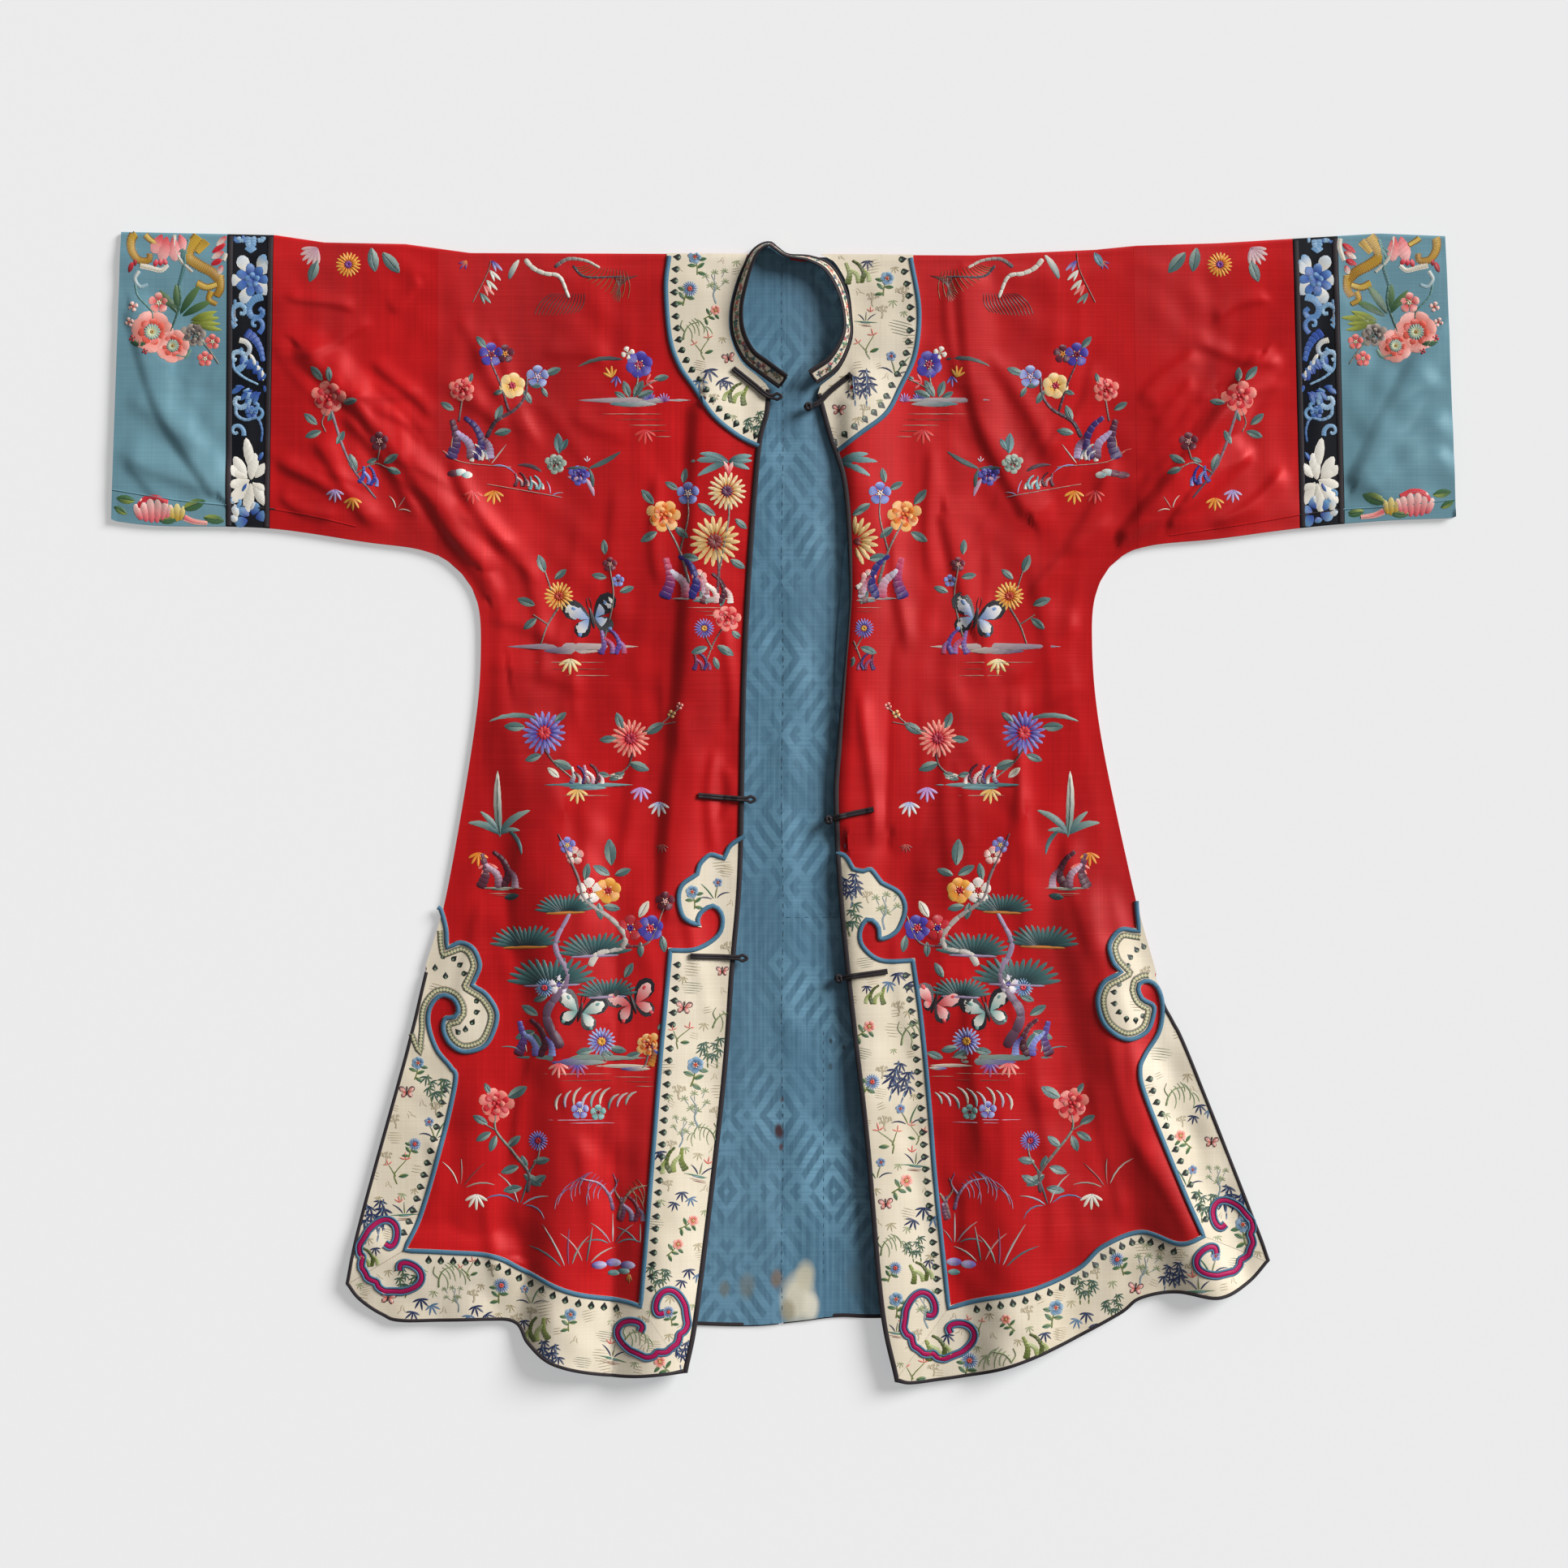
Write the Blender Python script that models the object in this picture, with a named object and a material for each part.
"""Embroidered red silk coat with a blue lining, laid open and flat on its back.

The coat is cut in two halves that meet in a centre back seam. Each half runs from the front hem up
over the shoulder fold and down to the back hem. Sleeve pieces, black bands and blue cuffs follow out
along the arm. A full lining lies inside. An ivory yoke and ivory borders are laid on the satin and
edged with blue piping, black binding closes every free edge, and a narrow collar stands on the neck.

Sizes are in millimetres from the centre line and the shoulder line: +X is the wearer's left, +Y is
towards the collar and +Z is up from the surface. The last step moves the whole coat so that its
bounding box is centred on the origin, with its underside at height 0.
"""
import math
from collections import namedtuple

import bpy
import numpy as np
from mathutils import Matrix, Vector
from mathutils.geometry import delaunay_2d_cdt

MM = 0.001

# Walls of the cloth and the clear space between layers and at seams
LINING_WALL = 1.0
SATIN_WALL = 1.2
BORDER_WALL = 1.0
PIPING_WALL = 1.5
LAYER_GAP = 0.35
SEAM_GAP = 0.3
END_CLEARANCE = 1.2

# Widths of the narrow trims
BINDING_WIDTH = 5.0
PIPING_WIDTH = 4.6
CLOUD_WIDTH = 6.5

# Half way along the hem of one half, out from the centre line, and how far down an arm reaches
MID_HEM = 250.0
ARM_DEPTH = 330.0

# Heights of each layer above the middle of the folded cloth
LINING = (LAYER_GAP / 2, LAYER_GAP / 2 + LINING_WALL)
SATIN = (LINING[1] + LAYER_GAP, LINING[1] + LAYER_GAP + SATIN_WALL)
BORDER = (SATIN[1] + LAYER_GAP, SATIN[1] + LAYER_GAP + BORDER_WALL)
PIPING = (BORDER[1] + LAYER_GAP, BORDER[1] + LAYER_GAP + PIPING_WALL)
BINDING_TOP = BORDER[1] + 0.4
MIDDLE = SATIN[1]

# Spacing of the points that carry the cloth
FRONT_STEP = 48.0
BACK_STEP = 95.0
LINE_STEP = 46.0
BEND_STEP = math.radians(58)

# How near a fold's crest comes to an edge, and a free point to a line, as a share of the spacing
CLEAR_OF_EDGE = 7.0
GRID_ROOM = 0.42

# Length of cloth that the shoulder fold takes, and how many points carry it along the arm
TURN = 8.0
TURN_LINES = (0.0, TURN / 2, TURN)
TURN_STATIONS = 9
FAR = 3000.0

# The top edge of the laid coat, cuff to cuff
EdgePoint = namedtuple("EdgePoint", "x y")
TOP_EDGE = (
    EdgePoint(-653.0, 23.2), EdgePoint(-500.8, 20.0), EdgePoint(-452.8, 12.8), EdgePoint(-372.8, 11.2),
    EdgePoint(-308.8, 2.4), EdgePoint(-115.0, 1.6), EdgePoint(187.0, 0.0), EdgePoint(307.0, 5.6),
    EdgePoint(347.0, 9.6), EdgePoint(427.0, 12.0), EdgePoint(507.0, 16.8), EdgePoint(587.0, 21.6),
    EdgePoint(651.2, 19.0),
)

# Sleeve seam and the two edges of the sleeve band: distance out at the fold and at the underarm
Across = namedtuple("Across", "at_fold at_underarm")

# The curled cloud at a hem corner: half its line from the tip to the curl, and where each one lies
CloudPoint = namedtuple("CloudPoint", "along across")
CLOUD = (
    CloudPoint(27.0, 0.0), CloudPoint(24.0, 10.0), CloudPoint(17.5, 17.5), CloudPoint(15.5, 27.5),
    CloudPoint(4.0, 32.5), CloudPoint(-8.0, 38.5), CloudPoint(-19.0, 34.0), CloudPoint(-21.0, 22.0),
    CloudPoint(-12.5, 12.5), CloudPoint(-4.0, 11.0), CloudPoint(0.5, 16.0),
)
CloudPlace = namedtuple("CloudPlace", "x y heading")

# One half of the coat, on the wearer's right or left
Half = namedtuple("Half", "name sign cuff_end underarm side hem opening neck shoulder_neck "
                          "yoke border mitres seam band_inner band_outer lining_end clouds")

RIGHT = Half(
    name="right", sign=-1,
    cuff_end=((-652.8, 22.0), (-658.0, -120.0), (-662.4, -254.0)),
    underarm=((-662.4, -254.0), (-656.0, -261.0), (-612.8, -266.4), (-508.8, -268.8), (-412.8, -282.4),
              (-356.8, -290.4), (-324.8, -306.4), (-303.0, -338.0), (-298.4, -388.0), (-304.8, -468.0),
              (-332.0, -628.0), (-352.8, -702.0)),
    side=((-352.8, -702.0), (-373.6, -788.0), (-417.6, -948.0), (-431.2, -1012.0)),
    hem=((-431.2, -1012.0), (-419.2, -1028.0), (-396.0, -1044.0), (-372.8, -1050.4), (-292.8, -1048.8),
         (-264.8, -1052.0), (-252.0, -1072.0), (-224.0, -1092.0), (-164.8, -1103.2), (-94.4, -1098.4)),
    opening=((-94.4, -1098.4), (-82.4, -1032.8), (-57.6, -820.0), (-48.8, -704.0), (-40.8, -602.0),
             (-37.0, -420.0), (-31.0, -300.0), (-22.4, -191.2), (-14.4, -156.0), (-12.8, -132.8)),
    neck=((-18.0, -127.0), (-26.4, -119.2), (-42.4, -104.8), (-52.8, -80.0), (-53.6, -53.6),
          (-46.4, -24.8), (-36.0, -1.2)),
    shoulder_neck=-36.0,
    yoke=((-115.2, 30.0), (-115.2, 0.0), (-118.4, -33.0), (-114.4, -82.4), (-104.8, -110.4),
          (-89.6, -132.8), (-71.2, -160.0), (-46.4, -180.0), (-23.2, -191.2), (0.0, -200.0)),
    border=(
        ((-10.0, -560.0), (-40.0, -570.4), (-54.4, -580.0), (-60.0, -591.2)),
        ((-60.0, -591.2), (-72.8, -588.0), (-84.0, -597.6), (-87.2, -608.0)),
        ((-87.2, -608.0), (-101.6, -618.4), (-105.6, -632.8), (-101.6, -651.2), (-88.0, -661.0),
         (-79.0, -652.0), (-71.0, -647.0), (-66.0, -656.0), (-72.0, -668.0), (-87.2, -680.8),
         (-113.6, -681.6)),
        ((-113.6, -681.6), (-119.2, -744.8), (-123.2, -788.0), (-131.2, -890.4), (-142.4, -1029.6)),
        ((-142.4, -1029.6), (-155.2, -1024.8), (-206.4, -1017.6), (-251.2, -998.4), (-284.0, -982.4),
         (-330.4, -978.4), (-369.6, -976.8)),
        ((-369.6, -976.8), (-355.2, -945.6), (-334.4, -874.4), (-320.8, -812.8), (-330.0, -790.0),
         (-345.0, -762.0), (-341.0, -742.0), (-332.0, -752.0), (-330.0, -775.0), (-315.2, -786.4),
         (-295.2, -781.6), (-284.8, -768.0), (-280.0, -746.4), (-290.4, -727.2), (-304.0, -717.6)),
        ((-304.0, -717.6), (-296.8, -697.6), (-304.0, -680.8), (-318.4, -674.4), (-329.6, -679.2)),
        ((-329.6, -679.2), (-330.4, -662.4), (-336.0, -642.4), (-350.0, -625.0)),
    ),
    mitres=(((-142.4, -1029.6), (-96.4, -1094.0)), ((-369.6, -976.8), (-425.0, -1012.0))),
    seam=Across(-340.8, -340.8), band_inner=Across(-502.4, -506.4), band_outer=Across(-548.0, -549.6),
    lining_end=Across(-620.0, -624.0),
    clouds=(CloudPlace(-389.0, -988.0, 209.0), CloudPlace(-126.0, -1052.0, 308.0)),
)

LEFT = Half(
    name="left", sign=1,
    cuff_end=((651.2, 18.0), (656.0, -120.0), (661.6, -250.0)),
    underarm=((661.6, -250.0), (655.0, -258.4), (587.2, -261.6), (507.2, -268.8), (427.2, -279.2),
              (363.2, -285.6), (331.2, -297.6), (310.0, -325.0), (303.2, -372.0), (311.2, -468.0),
              (344.8, -628.0), (366.4, -708.0)),
    side=((366.4, -708.0), (400.0, -788.0), (463.2, -948.0), (478.4, -989.6)),
    hem=((478.4, -989.6), (457.6, -1012.0), (427.2, -1026.4), (387.2, -1021.6), (351.2, -1028.0),
         (329.6, -1044.0), (268.0, -1076.0), (200.0, -1100.0), (131.2, -1110.4), (108.8, -1108.0)),
    opening=((108.8, -1108.0), (93.6, -1032.8), (79.2, -869.6), (67.2, -765.6), (54.4, -643.2),
             (48.8, -540.8), (52.0, -481.6), (62.4, -369.6), (64.0, -318.4), (57.6, -227.2),
             (43.2, -178.4), (32.0, -137.6)),
    neck=((36.0, -129.0), (55.2, -112.0), (67.2, -84.0), (67.2, -60.0), (63.2, -32.0), (52.0, -10.0),
          (44.0, -2.7)),
    shoulder_neck=44.0,
    yoke=((126.4, 30.0), (127.0, 0.0), (135.2, -53.6), (131.2, -98.4), (116.8, -131.2),
          (102.4, -157.6), (76.0, -178.4), (51.2, -198.4), (30.0, -210.0)),
    border=(
        ((20.0, -580.0), (50.4, -586.4), (61.6, -589.6), (69.6, -602.4)),
        ((69.6, -602.4), (86.4, -602.4), (97.6, -616.0)),
        ((97.6, -616.0), (115.2, -626.4), (121.6, -643.2), (115.2, -663.2), (99.0, -675.0),
         (90.0, -664.0), (82.4, -660.0), (76.8, -668.0), (82.0, -681.0), (96.8, -692.0),
         (128.8, -692.0)),
        ((128.8, -692.0), (137.6, -755.2), (145.6, -839.2), (151.2, -910.4), (164.0, -1033.6)),
        ((164.0, -1033.6), (194.4, -1024.8), (247.2, -1013.6), (288.0, -996.0), (312.8, -973.6),
         (351.2, -959.2), (387.2, -972.0), (408.8, -963.2)),
        ((408.8, -963.2), (389.6, -920.0), (353.6, -830.4), (347.2, -801.6), (360.0, -786.0),
         (374.0, -760.0), (372.0, -736.0), (362.0, -742.0), (357.0, -765.0), (336.0, -773.6),
         (313.6, -758.4), (305.6, -734.4), (312.0, -714.4), (328.0, -704.8)),
        ((328.0, -704.8), (317.6, -677.6), (332.0, -661.6), (351.2, -662.4)),
        ((351.2, -662.4), (348.8, -642.0), (362.0, -610.0)),
    ),
    mitres=(((164.0, -1033.6), (110.8, -1103.0)), ((408.8, -963.2), (472.0, -990.0))),
    seam=Across(344.0, 348.0), band_inner=Across(500.8, 508.0), band_outer=Across(545.0, 552.0),
    lining_end=Across(618.0, 624.0),
    clouds=(CloudPlace(434.0, -969.0, 340.0), CloudPlace(149.0, -1056.0, 232.0)),
)

# The back hangs a little short of the fronts; its hem shows between them
BACK_HEM = ((-424.0, -986.0), (-404.0, -1014.0), (-340.0, -1034.0), (-240.0, -1042.0), (-160.0, -1050.0),
            (-82.4, -1054.4), (-28.8, -1055.2), (12.0, -1051.2), (52.8, -1046.4), (93.6, -1047.2),
            (200.0, -1044.0), (270.0, -1032.0), (330.0, -1014.0), (390.0, -996.0), (440.0, -990.0),
            (468.0, -966.0))
BACK_SIDE_INSET = 3.5
CENTRE_BACK = -1.6

# Folds of the laid cloth: a bowed crest from a to b, with its fall to either side of the way down
Fold = namedtuple("Fold", "a middle b fall_right fall_left rise_a rise_b")
FOLDS = (
    # Right front
    Fold((-69.0, -140.0), (-83.0, -428.0), (-106.0, -640.0), 28.0, 36.0, 7.0, 8.0),
    Fold((-284.0, -470.0), (-220.0, -732.0), (-226.0, -1100.0), 34.0, 70.0, 2.0, 14.0),
    Fold((-134.0, -820.0), (-122.0, -932.0), (-124.0, -1110.0), 30.0, 38.0, 2.0, 8.0),
    Fold((-300.0, -840.0), (-302.0, -950.0), (-306.0, -1060.0), 30.0, 32.0, 2.0, 7.0),
    Fold((-418.0, -124.0), (-362.0, -210.0), (-300.0, -306.0), 22.0, 26.0, 4.0, 7.0),
    Fold((-380.0, -190.0), (-340.0, -250.0), (-296.0, -330.0), 18.0, 22.0, 3.0, 5.0),
    Fold((-640.0, -60.0), (-612.0, -150.0), (-560.0, -230.0), 20.0, 24.0, 2.5, 4.0),
    # Left front
    Fold((175.0, -22.0), (192.0, -156.0), (238.0, -250.0), 20.0, 28.0, 4.0, 5.0),
    Fold((160.0, -260.0), (172.0, -310.0), (184.0, -360.0), 18.0, 24.0, 3.0, 4.0),
    Fold((68.0, -150.0), (74.0, -330.0), (62.0, -560.0), 30.0, 46.0, 7.0, 8.0),
    Fold((64.0, -600.0), (78.0, -800.0), (104.0, -1100.0), 30.0, 44.0, 7.0, 9.0),
    Fold((106.0, -390.0), (108.0, -480.0), (106.0, -560.0), 20.0, 28.0, 4.0, 5.0),
    Fold((300.0, -660.0), (346.0, -812.0), (414.0, -1030.0), 30.0, 42.0, 3.0, 13.0),
    Fold((204.0, -740.0), (210.0, -868.0), (222.0, -1100.0), 30.0, 54.0, 3.0, 10.0),
    Fold((500.0, -170.0), (420.0, -220.0), (328.0, -300.0), 24.0, 22.0, 3.0, 7.0),
    Fold((432.0, -186.0), (412.0, -220.0), (384.0, -262.0), 18.0, 18.0, 3.0, 4.0),
    Fold((640.0, -80.0), (606.0, -140.0), (566.0, -220.0), 22.0, 22.0, 2.5, 4.0),
)
FOLD_FADE = 24.0

# The collar: base line round the neck, its height off the surface, and how steeply the band stands
CollarPoint = namedtuple("CollarPoint", "x y z lean")
COLLAR = (
    CollarPoint(-4.0, -130.5, 10.0, 34.0), CollarPoint(-22.8, -116.6, 9.0, 34.0),
    CollarPoint(-39.4, -102.6, 8.0, 36.0), CollarPoint(-50.0, -79.4, 7.5, 42.0),
    CollarPoint(-50.9, -53.8, 7.2, 50.0), CollarPoint(-43.9, -26.2, 7.0, 58.0),
    CollarPoint(-32.0, -3.0, 6.6, 66.0), CollarPoint(-14.0, 8.0, 6.2, 74.0),
    CollarPoint(4.0, 0.0, 6.0, 78.0), CollarPoint(26.0, -2.4, 6.0, 70.0),
    CollarPoint(46.0, -11.0, 6.4, 56.0), CollarPoint(59.4, -33.6, 7.0, 50.0),
    CollarPoint(64.3, -60.0, 8.0, 50.0), CollarPoint(64.3, -83.0, 10.0, 44.0),
    CollarPoint(53.2, -109.6, 12.0, 36.0), CollarPoint(32.0, -126.6, 14.0, 34.0),
)
COLLAR_STEP = 20.0
COLLAR_WALL = 1.2
COLLAR_WIDTH = 11.0
COLLAR_CORD_RADIUS = 1.9
COLLAR_EDGE_RADIUS = 1.6

# Knotted fastenings: a flat bar sewn down, then a loop or a knot over the opening
Fastening = namedtuple("Fastening", "name path knot lies_on")
FASTENINGS = (
    Fastening("loop_neck", ((-50.0, -112.0), (-30.0, -128.0), (-16.0, -139.0), (-4.0, -140.0)),
              3.2, BORDER[1]),
    Fastening("knot_neck", ((66.0, -118.0), (46.0, -134.0), (34.0, -146.0), (24.0, -150.0)),
              4.6, BORDER[1]),
    Fastening("loop_chest", ((-84.0, -532.0), (-48.0, -535.0), (-30.0, -536.0)), 3.2, SATIN[1]),
    Fastening("knot_chest", ((88.0, -545.6), (58.0, -552.0), (44.0, -556.0)), 4.6, SATIN[1]),
    Fastening("loop_waist", ((-92.0, -689.6), (-56.0, -691.0), (-38.0, -692.0)), 3.2, BORDER[1]),
    Fastening("knot_waist", ((101.6, -704.8), (70.0, -709.0), (54.0, -712.0)), 4.6, BORDER[1]),
)
BAR_RADIUS = 2.5
BAR_STEP = 7.0
KNOT_START = 0.8

# Colour and roughness of each material
Finish = namedtuple("Finish", "color roughness")
FINISHES = {
    "red_satin": Finish((0.43, 0.017, 0.019), 0.42),
    "blue_lining": Finish((0.12, 0.23, 0.31), 0.5),
    "ivory_satin": Finish((0.62, 0.54, 0.41), 0.45),
    "blue_cuff_satin": Finish((0.19, 0.32, 0.36), 0.42),
    "black_band_silk": Finish((0.03, 0.032, 0.038), 0.6),
    "blue_piping": Finish((0.1, 0.2, 0.28), 0.5),
    "black_binding": Finish((0.02, 0.018, 0.018), 0.6),
    "magenta_satin": Finish((0.4, 0.012, 0.09), 0.42),
}

# Points of a sheet in the flat pattern, its triangles, and the fold height at each point
Sheet = namedtuple("Sheet", "points triangles rise")


# Curves

def smooth(points, step):
    """A rounded line through the points, cut no longer than step and shorter where it bends."""
    points = np.asarray(points, float)
    if len(points) == 2:
        dense = points[0] + np.linspace(0, 1, 9)[:, None] * (points[1] - points[0])
    else:
        padded = np.vstack([2 * points[0] - points[1], points, 2 * points[-1] - points[-2]])
        pieces = []
        t = np.linspace(0, 1, 12, endpoint=False)[:, None]
        for before, start, end, after in zip(padded, padded[1:], padded[2:], padded[3:]):
            pull = 0.5 * (end - before)
            push = 0.5 * (after - start)
            pieces.append((2 * t**3 - 3 * t**2 + 1) * start + (t**3 - 2 * t**2 + t) * pull
                          + (3 * t**2 - 2 * t**3) * end + (t**3 - t**2) * push)
        dense = np.vstack(pieces + [points[-1:]])
    steps = np.diff(dense, axis=0)
    heading = np.unwrap(np.arctan2(steps[:, 1], steps[:, 0]))
    bend = np.abs(np.diff(heading, append=heading[-1]))
    along = np.concatenate([[0], np.cumsum(np.linalg.norm(steps, axis=1) / step + bend / BEND_STEP)])
    stations = np.linspace(0, along[-1], max(1, math.ceil(along[-1])) + 1)
    return np.column_stack([np.interp(stations, along, column) for column in dense.T])


def chain(curves):
    """Join curves that meet end to end into one line."""
    return np.vstack([curves[0]] + [curve[1:] for curve in curves[1:]])


def offset(line, distance):
    """The line moved to its left by distance, with mitred corners."""
    steps = np.diff(line, axis=0)
    steps /= np.linalg.norm(steps, axis=1)[:, None]
    normals = np.column_stack([-steps[:, 1], steps[:, 0]])
    before = np.vstack([normals[:1], normals])
    after = np.vstack([normals, normals[-1:]])
    middle = before + after
    length = np.maximum((middle**2).sum(axis=1) / 2, 0.7)
    return line + distance * middle / length[:, None]


def inside(points, polygon):
    """Which points lie in the polygon."""
    x, y = points[:, 0:1], points[:, 1:2]
    ax, ay = polygon[:, 0], polygon[:, 1]
    bx, by = np.roll(ax, -1), np.roll(ay, -1)
    crosses = (ay > y) != (by > y)
    rise = np.where(by == ay, 1.0, by - ay)
    hit = crosses & (x < (bx - ax) * (y - ay) / rise + ax)
    return hit.sum(axis=1) % 2 == 1


def distance_to(points, line):
    """Least distance of each point to the line, with the side and the share of the way along it."""
    start, span = line[:-1], np.diff(line, axis=0)
    length = (span**2).sum(axis=1)
    away = points[:, None] - start
    share = np.clip((away * span).sum(axis=2) / length, 0, 1)
    gap = away - share[..., None] * span
    reach = np.linalg.norm(gap, axis=2)
    nearest = reach.argmin(axis=1)
    rows = np.arange(len(points))
    turn = span[nearest, 0] * away[rows, nearest, 1] - span[nearest, 1] * away[rows, nearest, 0]
    return reach[rows, nearest], turn, (nearest + share[rows, nearest]) / len(span)


# The laid shape

def fold_line(x):
    """Where the shoulder fold starts to turn, at each x."""
    edge = np.array(TOP_EDGE)
    return np.interp(x, edge[:, 0], edge[:, 1]) - SATIN[1]


def front_pattern(line):
    """Points seen on the front, as pattern points: the shoulder fold is at 0 and the hem below it."""
    line = np.asarray(line, float)
    return np.column_stack([line[:, 0], line[:, 1] - fold_line(line[:, 0])])


def back_pattern(line):
    """Points on the back, as pattern points above the shoulder fold."""
    line = np.asarray(line, float)
    return np.column_stack([line[:, 0], TURN + fold_line(line[:, 0]) - line[:, 1]])


def crest(fold, step=FRONT_STEP):
    """The line along the top of a fold."""
    return smooth((fold.a, fold.middle, fold.b), step)


def fold_rise(points, sewn_edges):
    """Height of the front over flat cloth: each fold falls smoothly from its crest to both sides.

    Where the front is sewn to the back, and at the shoulder fold, the cloth comes back down.
    """
    height = np.zeros(len(points))
    for fold in FOLDS:
        reach, turn, share = distance_to(points, crest(fold, 12.0))
        fall = np.where(turn < 0, fold.fall_right, fold.fall_left)
        near = np.clip(1 - (reach / fall)**2, 0, 1)**2
        height = np.maximum(height, near * (fold.rise_a + (fold.rise_b - fold.rise_a) * share))
    down = np.clip((fold_line(points[:, 0]) - points[:, 1]) / FOLD_FADE, 0, 1)
    for edge in sewn_edges:
        down = np.minimum(down, np.clip(distance_to(points, edge)[0] / FOLD_FADE, 0, 1))
    return height * down * down * (3 - 2 * down)


def placed(sheet, level):
    """Points in space for the sheet at a level out from the middle of the folded cloth."""
    x, v = sheet.points.T
    start = fold_line(x)
    angle = np.clip(v / TURN, 0, 1) * math.pi
    y = start + np.minimum(v, 0) - np.maximum(v - TURN, 0) + level * np.sin(angle)
    z = MIDDLE + level * np.cos(angle) + sheet.rise
    return np.column_stack([x, y, z])


def across_line(across):
    """A line across the sleeve, from the front underarm over the fold to the back underarm."""
    return np.array([(across.at_underarm, -ARM_DEPTH), (across.at_fold, 0), (across.at_fold, TURN),
                     (across.at_underarm, TURN + ARM_DEPTH)])


def beyond(points, across, half):
    """Which pattern points lie further out along the arm than a line across the sleeve."""
    line = across_line(across)
    on_arm = np.abs(points[:, 1] - TURN / 2) < ARM_DEPTH
    return on_arm & (half.sign * (points[:, 0] - np.interp(points[:, 1], line[:, 1], line[:, 0])) > 0)


def free_edge(half):
    """Outer line of the front where it isn't sewn: slit, hem and opening, up to the neck."""
    return chain([smooth(half.side, LINE_STEP), smooth(half.hem, LINE_STEP),
                  smooth(half.opening, LINE_STEP)])


def back_edge(half):
    """Outer line of the back from the slit to the centre back seam."""
    hem = smooth(BACK_HEM if half.sign < 0 else BACK_HEM[::-1], LINE_STEP)
    hem = hem[half.sign * (hem[:, 0] - CENTRE_BACK) > LINE_STEP / 3]
    level = np.interp(CENTRE_BACK, *zip(*BACK_HEM))
    side = smooth(half.side, LINE_STEP) - (half.sign * BACK_SIDE_INSET, 0)
    side = side[side[:, 1] > hem[0, 1] + LINE_STEP / 2]
    return np.vstack([side, hem, [(CENTRE_BACK, level)]])


def satin_edges(half):
    """Edges of the satin where binding closes it, on the front and on the back."""
    inward = -half.sign * (BINDING_WIDTH + SEAM_GAP)
    return offset(free_edge(half), inward), offset(back_edge(half), inward)


def pattern_outline(half):
    """The half's outline in the flat pattern, front hem to back hem in one piece."""
    front, back = satin_edges(half)
    under = smooth(half.underarm, LINE_STEP)
    cuff = smooth(half.cuff_end, 90.0)
    back = back.copy()
    back[-1, 0] = CENTRE_BACK
    neck = smooth(half.neck, 14.0)
    turn_at_neck = [(half.shoulder_neck, v) for v in TURN_LINES]
    turn_at_cuff = [(half.cuff_end[0][0], v) for v in reversed(TURN_LINES)]
    return np.vstack([
        front_pattern(front), front_pattern(neck)[:-1], turn_at_neck,
        back_pattern([(CENTRE_BACK, fold_line(CENTRE_BACK))]),
        back_pattern(back[::-1]), back_pattern(under[::-1])[:-1], back_pattern(cuff[::-1])[:-1],
        turn_at_cuff, front_pattern(cuff)[1:-1], front_pattern(under),
    ])


def grid(low, high, step):
    """Staggered points over a rectangle."""
    rows = []
    for index, y in enumerate(np.arange(low[1], high[1], step * 0.87)):
        x = np.arange(low[0] + (index % 2) * step / 2, high[0], step)
        rows.append(np.column_stack([x, np.full(len(x), y)]))
    return np.vstack(rows)


def triangulate(points, edges):
    """Points and triangles of a plane net that keeps every given edge."""
    vectors = [Vector(point) for point in points]
    out = delaunay_2d_cdt(vectors, [tuple(map(int, edge)) for edge in edges], [], 0, 0.02, False)
    net = np.array([tuple(point) for point in out[0]])
    return net, np.array([tuple(face) for face in out[2]], int)


def joined(lines):
    """Points and edges of several lines."""
    points, edges, count = [], [], 0
    for line in lines:
        points.append(line)
        edges += [(count + i, count + i + 1) for i in range(len(line) - 1)]
        count += len(line)
    return np.vstack(points), edges


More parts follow.
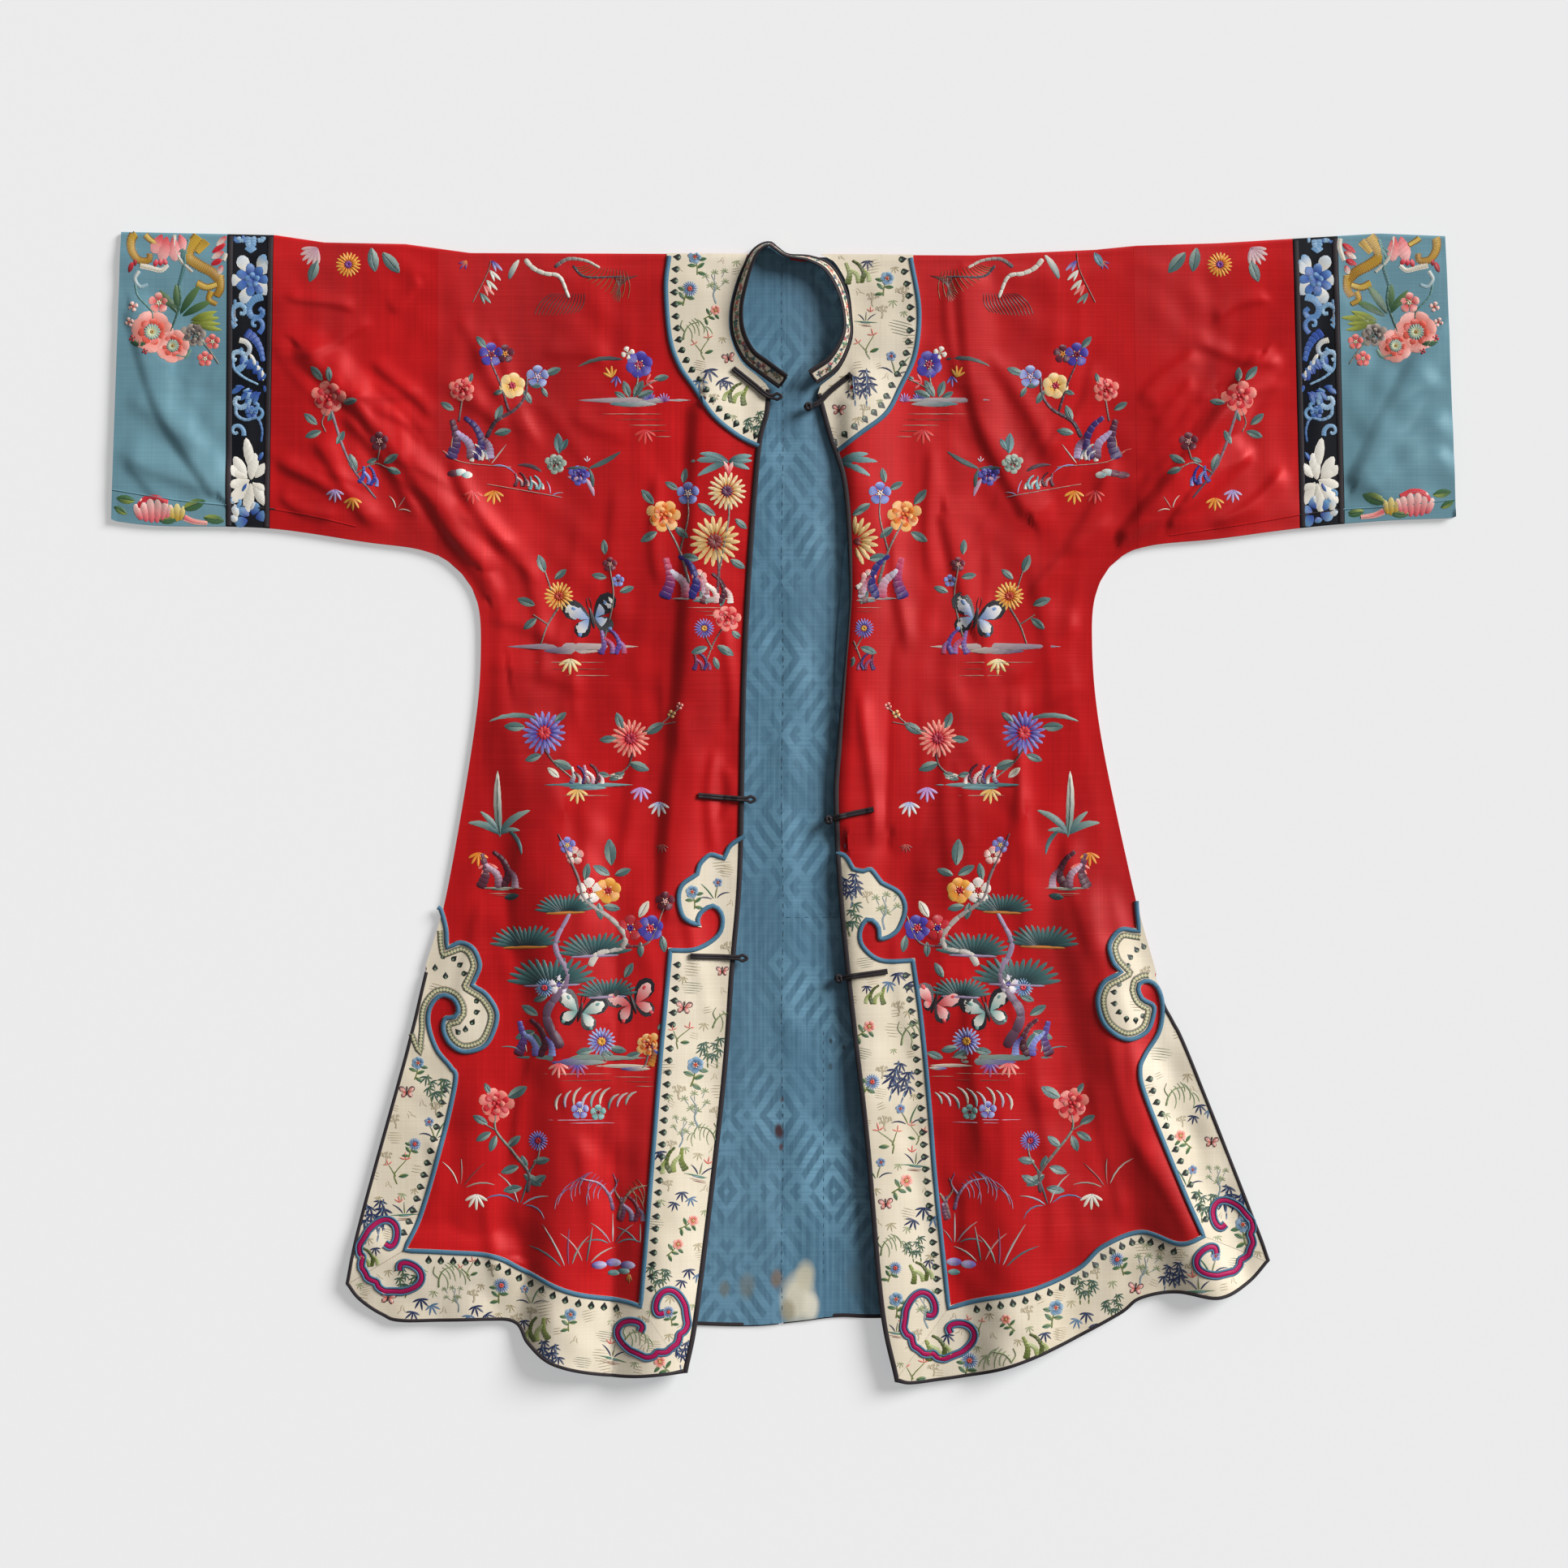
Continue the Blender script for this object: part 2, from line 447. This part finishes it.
def master_sheet(half):
    """The half's whole pattern as one net, with its fold heights. Every layer follows it."""
    outline = pattern_outline(half)
    sewn = [smooth(half.underarm, LINE_STEP)]
    out, near = half.cuff_end[0][0], half.shoulder_neck
    stations = np.linspace(near, out, TURN_STATIONS)
    lines = [np.vstack([outline, outline[:1]])]
    lines += [np.column_stack([stations, np.full(TURN_STATIONS, v)]) for v in TURN_LINES]
    for across in (half.seam, half.band_inner, half.band_outer, half.lining_end):
        line = across_line(across)
        lines += [smooth(line[:2], FRONT_STEP), line[1:3], smooth(line[2:], BACK_STEP)]
    for fold in FOLDS:
        line = front_pattern(crest(fold))
        clear = distance_to(line, lines[0])[0] > CLEAR_OF_EDGE
        keep = inside(line, outline) & clear & (line[:, 1] < -CLEAR_OF_EDGE)
        if keep.sum() > 1:
            lines.append(line[keep])
    fixed, edges = joined(lines)
    low, high = outline.min(axis=0), outline.max(axis=0)
    front = grid(low, (high[0], -FRONT_STEP / 4), FRONT_STEP)
    back = grid((low[0], TURN + BACK_STEP / 4), high, BACK_STEP)
    free = np.vstack([front, back])
    free = free[inside(free, outline)]
    room = np.where(free[:, 1] < 0, FRONT_STEP, BACK_STEP) * GRID_ROOM
    gap = np.array([np.linalg.norm(fixed - point, axis=1).min() for point in free])
    free = free[(gap > room) & (distance_to(free, lines[0])[0] > room)]
    points, triangles = triangulate(np.vstack([fixed, free]), edges)
    middle = points[triangles].mean(axis=1)
    triangles = triangles[inside(middle, outline)]
    triangles = clear_slivers(points, triangles)
    seen = points.copy()
    seen[:, 1] = np.minimum(points[:, 1], 0) + fold_line(points[:, 0])
    rise = np.where(points[:, 1] < 0, fold_rise(seen, sewn), 0.0)
    return Sheet(points, triangles, rise)


def clear_slivers(points, triangles):
    """Leave out triangles with no area."""
    a, b, c = (points[triangles[:, i]] for i in range(3))
    area = (b[:, 0] - a[:, 0]) * (c[:, 1] - a[:, 1]) - (b[:, 1] - a[:, 1]) * (c[:, 0] - a[:, 0])
    return triangles[np.abs(area) > 1e-4]


def rise_on(sheet, points):
    """Fold height at any pattern points, read off the net's flat triangles."""
    a, b, c = (sheet.points[sheet.triangles[:, i]] for i in range(3))
    heights = sheet.rise[sheet.triangles]
    area = (b[:, 0] - a[:, 0]) * (c[:, 1] - a[:, 1]) - (b[:, 1] - a[:, 1]) * (c[:, 0] - a[:, 0])
    found = np.empty(len(points))
    for i, (x, y) in enumerate(points):
        u = ((b[:, 0] - x) * (c[:, 1] - y) - (b[:, 1] - y) * (c[:, 0] - x)) / area
        v = ((c[:, 0] - x) * (a[:, 1] - y) - (c[:, 1] - y) * (a[:, 0] - x)) / area
        w = 1 - u - v
        best = np.minimum(np.minimum(u, v), w).argmax()
        weight = np.clip((u[best], v[best], w[best]), 0, 1)
        found[i] = (heights[best] * weight).sum() / weight.sum()
    return found


def trimmed_sheet(sheet, lines, keep):
    """The part of the net near the trims, cut along their lines, still lying on the same triangles."""
    middle = sheet.points[sheet.triangles].mean(axis=1)
    near = sheet.triangles[keep(middle)]
    used, index = np.unique(near, return_inverse=True)
    near = index.reshape(near.shape)
    edges = np.vstack([near[:, (0, 1)], near[:, (1, 2)], near[:, (2, 0)]])
    edges = np.unique(np.sort(edges, axis=1), axis=0)
    points, extra = joined(lines)
    everything = np.vstack([sheet.points[used], points])
    edges = list(map(tuple, edges)) + [(a + len(used), b + len(used)) for a, b in extra]
    net, triangles = triangulate(everything, edges)
    triangles = clear_slivers(net, triangles)
    return Sheet(net, triangles, rise_on(sheet, net))


# Solids

def material(name):
    """The named finish as a Principled material."""
    made = bpy.data.materials.get(name) or bpy.data.materials.new(name)
    made.use_nodes = True
    shader = made.node_tree.nodes["Principled BSDF"]
    finish = FINISHES[name]
    shader.inputs["Base Color"].default_value = (*finish.color, 1)
    shader.inputs["Roughness"].default_value = finish.roughness
    shader.inputs["Metallic"].default_value = 0
    made.diffuse_color = (*finish.color, 1)
    return made


def add_object(name, points, faces, finish):
    """One named solid, from points in millimetres."""
    mesh = bpy.data.meshes.new(name)
    mesh.from_pydata((np.asarray(points) * MM).tolist(), [], [list(map(int, face)) for face in faces])
    mesh.validate()
    mesh.materials.append(material(finish))
    made = bpy.data.objects.new(name, mesh)
    bpy.context.scene.collection.objects.link(made)
    return made


def boundary(triangles):
    """Edges that only one triangle has, in its own direction."""
    edges = np.vstack([triangles[:, (0, 1)], triangles[:, (1, 2)], triangles[:, (2, 0)]])
    known = {tuple(edge) for edge in edges}
    return [(a, b) for a, b in known if (b, a) not in known]


def drawn_in(sheet, edges, distance):
    """The sheet's points, with those on its edge moved in by distance."""
    pull = {}
    for a, b in edges:
        step = sheet.points[b] - sheet.points[a]
        step = step / np.linalg.norm(step)
        for end in (a, b):
            pull.setdefault(end, []).append((-step[1], step[0]))
    moved = sheet.points.copy()
    for end, normals in pull.items():
        total = np.sum(normals, axis=0)
        length = max((total**2).sum() / len(normals), 0.5)
        moved[end] += distance * total / length
    return moved


def cloth(name, sheet, chosen, levels, finish):
    """A closed wall of cloth over the chosen triangles, between two levels of the lay."""
    triangles = sheet.triangles[chosen]
    a, b, c = (sheet.points[triangles[:, i]] for i in range(3))
    area = (b[:, 0] - a[:, 0]) * (c[:, 1] - a[:, 1]) - (b[:, 1] - a[:, 1]) * (c[:, 0] - a[:, 0])
    triangles = np.where(area[:, None] > 0, triangles, triangles[:, ::-1])
    used, index = np.unique(triangles, return_inverse=True)
    triangles = index.reshape(triangles.shape)
    part = Sheet(sheet.points[used], triangles, sheet.rise[used])
    edges = boundary(triangles)
    part = part._replace(points=drawn_in(part, edges, SEAM_GAP / 2))
    low, high = placed(part, levels[0]), placed(part, levels[1])
    count = len(used)
    faces = [(p + count, q + count, r + count) for p, q, r in triangles]
    faces += [(r, q, p) for p, q, r in triangles]
    for p, q in edges:
        faces += [(p, q, q + count), (p, q + count, p + count)]
    return add_object(name, np.vstack([low, high]), faces, finish)


def sweep(name, rings, finish):
    """A closed solid through rings of points, with flat ends."""
    rings = np.asarray(rings)
    stations, sides = rings.shape[:2]
    faces = []
    for i in range(stations - 1):
        for j in range(sides):
            a, b = i * sides + j, i * sides + (j + 1) % sides
            faces += [(a, b, b + sides), (a, b + sides, a + sides)]
    faces.append(tuple(reversed(range(sides))))
    faces.append(tuple(range((stations - 1) * sides, stations * sides)))
    made = add_object(name, rings.reshape(-1, 3), faces, finish)
    turn_out(made)
    return made


def turn_out(made):
    """Turn the faces outward where the solid was wound the other way."""
    mesh = made.data
    volume = 0.0
    mesh.calc_loop_triangles()
    for triangle in mesh.loop_triangles:
        a, b, c = (mesh.vertices[i].co for i in triangle.vertices)
        volume += a.dot(b.cross(c))
    if volume < 0:
        mesh.flip_normals()


# Pieces

def add_halves(half, sheet):
    """Lining, satin body, sleeve, band and cuff of one half."""
    middle = sheet.points[sheet.triangles].mean(axis=1)
    past_seam = beyond(middle, half.seam, half)
    past_inner = beyond(middle, half.band_inner, half)
    past_outer = beyond(middle, half.band_outer, half)
    past_lining = beyond(middle, half.lining_end, half)
    cloth(f"lining_{half.name}", sheet, ~past_lining, LINING, "blue_lining")
    cloth(f"body_{half.name}", sheet, ~past_seam, SATIN, "red_satin")
    cloth(f"sleeve_{half.name}", sheet, past_seam & ~past_inner, SATIN, "red_satin")
    cloth(f"sleeve_band_{half.name}", sheet, past_inner & ~past_outer, SATIN, "black_band_silk")
    cloth(f"cuff_{half.name}", sheet, past_outer, SATIN, "blue_cuff_satin")


def add_yoke(half, sheet):
    """Ivory yoke on the shoulder, with blue piping along its outer edge."""
    edge = front_pattern(smooth(half.yoke, LINE_STEP))
    inner = offset(edge, -half.sign * PIPING_WIDTH)
    corner = [(-half.sign * FAR, edge[-1, 1]), (-half.sign * FAR, FAR), (edge[0, 0], FAR)]
    whole, field = np.vstack([edge, corner]), np.vstack([inner, corner])
    cut = trimmed_sheet(sheet, [edge, inner], lambda p: (p[:, 1] > -240) & (p[:, 1] < TURN / 2)
                        & (half.sign * p[:, 0] < 190))
    middle = cut.points[cut.triangles].mean(axis=1)
    laid = inside(middle, pattern_outline(half)) & (middle[:, 1] < TURN / 2)
    on_yoke = laid & inside(middle, whole)
    cloth(f"yoke_{half.name}", cut, on_yoke, BORDER, "ivory_satin")
    cloth(f"yoke_piping_{half.name}", cut, on_yoke & ~inside(middle, field), PIPING, "blue_piping")


def cloud_band(place):
    """Outline of the curled cloud at a hem corner: a band that follows its half line on both sides."""
    half_line = [(point.along, point.across) for point in CLOUD]
    line = smooth([(u, -v) for u, v in reversed(half_line[1:])] + half_line, LINE_STEP)
    turn = math.radians(place.heading)
    u, v = line.T
    line = np.column_stack([place.x + u * math.cos(turn) - v * math.sin(turn),
                            place.y + u * math.sin(turn) + v * math.cos(turn)])
    return np.vstack([offset(line, CLOUD_WIDTH / 2), offset(line, -CLOUD_WIDTH / 2)[::-1]])


def add_border(half, sheet):
    """Ivory borders down the front, along the hem and up the slit, with piping and corner clouds."""
    edge = front_pattern(chain([smooth(part, LINE_STEP) for part in half.border]))
    inner = offset(edge, -half.sign * PIPING_WIDTH)
    around = [(half.sign * FAR, edge[-1, 1]), (half.sign * FAR, -FAR), (-half.sign * FAR, -FAR),
              (-half.sign * FAR, edge[0, 1])]
    whole, field = np.vstack([edge, around]), np.vstack([inner, around])
    mitres = [front_pattern(line) for line in half.mitres]
    clouds = [front_pattern(cloud_band(place)) for place in half.clouds]
    lines = [edge, inner] + mitres + [np.vstack([cloud, cloud[:1]]) for cloud in clouds]
    cut = trimmed_sheet(sheet, lines, lambda p: p[:, 1] < -540)
    middle = cut.points[cut.triangles].mean(axis=1)
    laid = inside(middle, pattern_outline(half)) & (middle[:, 1] < 0)
    on_border = laid & inside(middle, whole)
    front_mitre, side_mitre = mitres
    outer_half = half.sign * middle[:, 0] > MID_HEM
    near_front = ~outer_half & beyond_line(middle, front_mitre, half.sign)
    near_side = outer_half & beyond_line(middle, side_mitre, -half.sign)
    cloth(f"border_front_{half.name}", cut, on_border & near_front, BORDER, "ivory_satin")
    cloth(f"border_hem_{half.name}", cut, on_border & ~near_front & ~near_side, BORDER, "ivory_satin")
    cloth(f"border_side_{half.name}", cut, on_border & near_side, BORDER, "ivory_satin")
    cloth(f"border_piping_{half.name}", cut, on_border & ~inside(middle, field), PIPING, "blue_piping")
    for place, cloud in zip(("side", "front"), clouds):
        cloth(f"corner_cloud_{place}_{half.name}", cut, on_border & inside(middle, cloud), PIPING,
              "magenta_satin")


def beyond_line(points, line, sign):
    """Which points lie on the front opening's side of a mitre."""
    span = line[1] - line[0]
    away = points - line[0]
    turn = span[0] * away[:, 1] - span[1] * away[:, 0]
    return sign * turn < 0


def edge_binding(name, half, sheet, outer, flip):
    """Black binding folded over a free edge: a rounded strip that spans lining, satin and border."""
    for end, near in ((0, 1), (-1, -2)):
        along = outer[near] - outer[end]
        outer[end] += along * END_CLEARANCE / np.linalg.norm(along)
    inner = offset(outer, -half.sign * BINDING_WIDTH)
    seat = offset(outer, -half.sign * (BINDING_WIDTH + SEAM_GAP))
    pattern = back_pattern(seat) if flip else front_pattern(seat)
    rise = rise_on(sheet, pattern)
    if flip:
        inner[-1, 0] = outer[-1, 0] = CENTRE_BACK + half.sign * SEAM_GAP / 2
    top = SATIN[1] if flip else BINDING_TOP
    section = ((0.0, LINING[0]), (1.0, LINING[0]), (1.0, top * 0.72), (0.72, top), (0.0, top))
    rings = []
    for near, far, lift in zip(inner, outer, rise):
        ring = []
        for across, level in section:
            x, y = near + across * (far - near)
            ring.append((x, y, MIDDLE - level if flip else MIDDLE + level + lift))
        rings.append(ring)
    return sweep(name, rings, "black_binding")


def collar_frames():
    """Stations round the neck: base point, the way inward and the way the band stands."""
    base = smooth([(p.x, p.y, p.z, p.lean) for p in COLLAR], COLLAR_STEP)
    steps = np.gradient(base[:, :2], axis=0)
    steps /= np.linalg.norm(steps, axis=1)[:, None]
    frames = []
    for (x, y, z, lean), (dx, dy) in zip(base, steps):
        inward = np.array((dy, -dx, 0.0))
        lean = math.radians(lean)
        stand = inward * math.cos(lean) + np.array((0, 0, math.sin(lean)))
        thick = inward * -math.sin(lean) + np.array((0, 0, math.cos(lean)))
        frames.append((np.array((x, y, z)), stand, thick))
    return frames


def add_collar():
    """Standing collar band with a black cord at its base and black binding on its top edge."""
    frames = collar_frames()
    low = COLLAR_CORD_RADIUS + SEAM_GAP
    high = low + COLLAR_WIDTH
    half_wall = COLLAR_WALL / 2
    section = ((low, -half_wall), (high, -half_wall), (high, half_wall), (low, half_wall))
    sweep("collar", [[base + stand * u + thick * w for u, w in section]
                     for base, stand, thick in frames], "ivory_satin")
    for name, reach, radius in (("collar_cord", 0.0, COLLAR_CORD_RADIUS),
                                ("collar_binding", high + SEAM_GAP + COLLAR_EDGE_RADIUS,
                                 COLLAR_EDGE_RADIUS)):
        turns = [(math.cos(a), math.sin(a)) for a in np.linspace(0, math.tau, 6, endpoint=False)]
        sweep(name, [[base + stand * (reach + radius * c) + thick * radius * s for c, s in turns]
                     for base, stand, thick in frames], "black_binding")


def add_fastening(row, halves, sheets):
    """A black cord bar that ends in a loop or a round knot, lying on what is under it."""
    path = smooth(row.path, BAR_STEP)
    share = np.linspace(0, 1, len(path))
    swell = np.sin(np.clip((share - KNOT_START) / (1 - KNOT_START), 0, 1) * math.pi)**2
    radius = BAR_RADIUS + (row.knot - BAR_RADIUS) * swell
    radius[0] = radius[-1] = BAR_RADIUS * 0.6
    turns = [(math.cos(a), math.sin(a)) for a in np.linspace(0, math.tau, 6, endpoint=False)]
    steps = np.gradient(path, axis=0)
    steps /= np.linalg.norm(steps, axis=1)[:, None]
    half, sheet = list(zip(halves, sheets))[int(path[0, 0] > 0)]
    around = [(0, 0)] + [(BAR_RADIUS * c, BAR_RADIUS * s) for c, s in turns]
    lifts = np.array([rise_on(sheet, front_pattern(path + shift)) for shift in around]).max(axis=0)
    at_edge = distance_to(path, free_edge(half))[0] < BINDING_WIDTH + 2 * BAR_RADIUS
    level = np.where(np.maximum.accumulate(at_edge), BINDING_TOP, row.lies_on)
    heights = MIDDLE + level + LAYER_GAP + lifts + radius
    rings = []
    for (x, y), (dx, dy), z, size in zip(path, steps, heights, radius):
        rings.append([(x - dy * size * c, y + dx * size * c, z + size * s) for c, s in turns])
    sweep(row.name, rings, "black_binding")


def centre_on_origin():
    """Move every piece so that the coat's bounding box stands centred on the origin."""
    corners = np.array([tuple(v.co) for made in bpy.data.objects for v in made.data.vertices])
    low, high = corners.min(axis=0), corners.max(axis=0)
    shift = Vector((-(low[0] + high[0]) / 2, -(low[1] + high[1]) / 2, -low[2]))
    for made in bpy.data.objects:
        made.data.transform(Matrix.Translation(shift))


def main():
    for old in list(bpy.data.objects):
        bpy.data.objects.remove(old, do_unlink=True)
    halves, sheets = (RIGHT, LEFT), []
    for half in halves:
        sheet = master_sheet(half)
        sheets.append(sheet)
        add_halves(half, sheet)
        add_yoke(half, sheet)
        add_border(half, sheet)
        edge_binding(f"binding_front_{half.name}", half, sheet, free_edge(half), False)
        edge_binding(f"binding_back_{half.name}", half, sheet, back_edge(half), True)
    add_collar()
    for row in FASTENINGS:
        add_fastening(row, halves, sheets)
    centre_on_origin()


main()
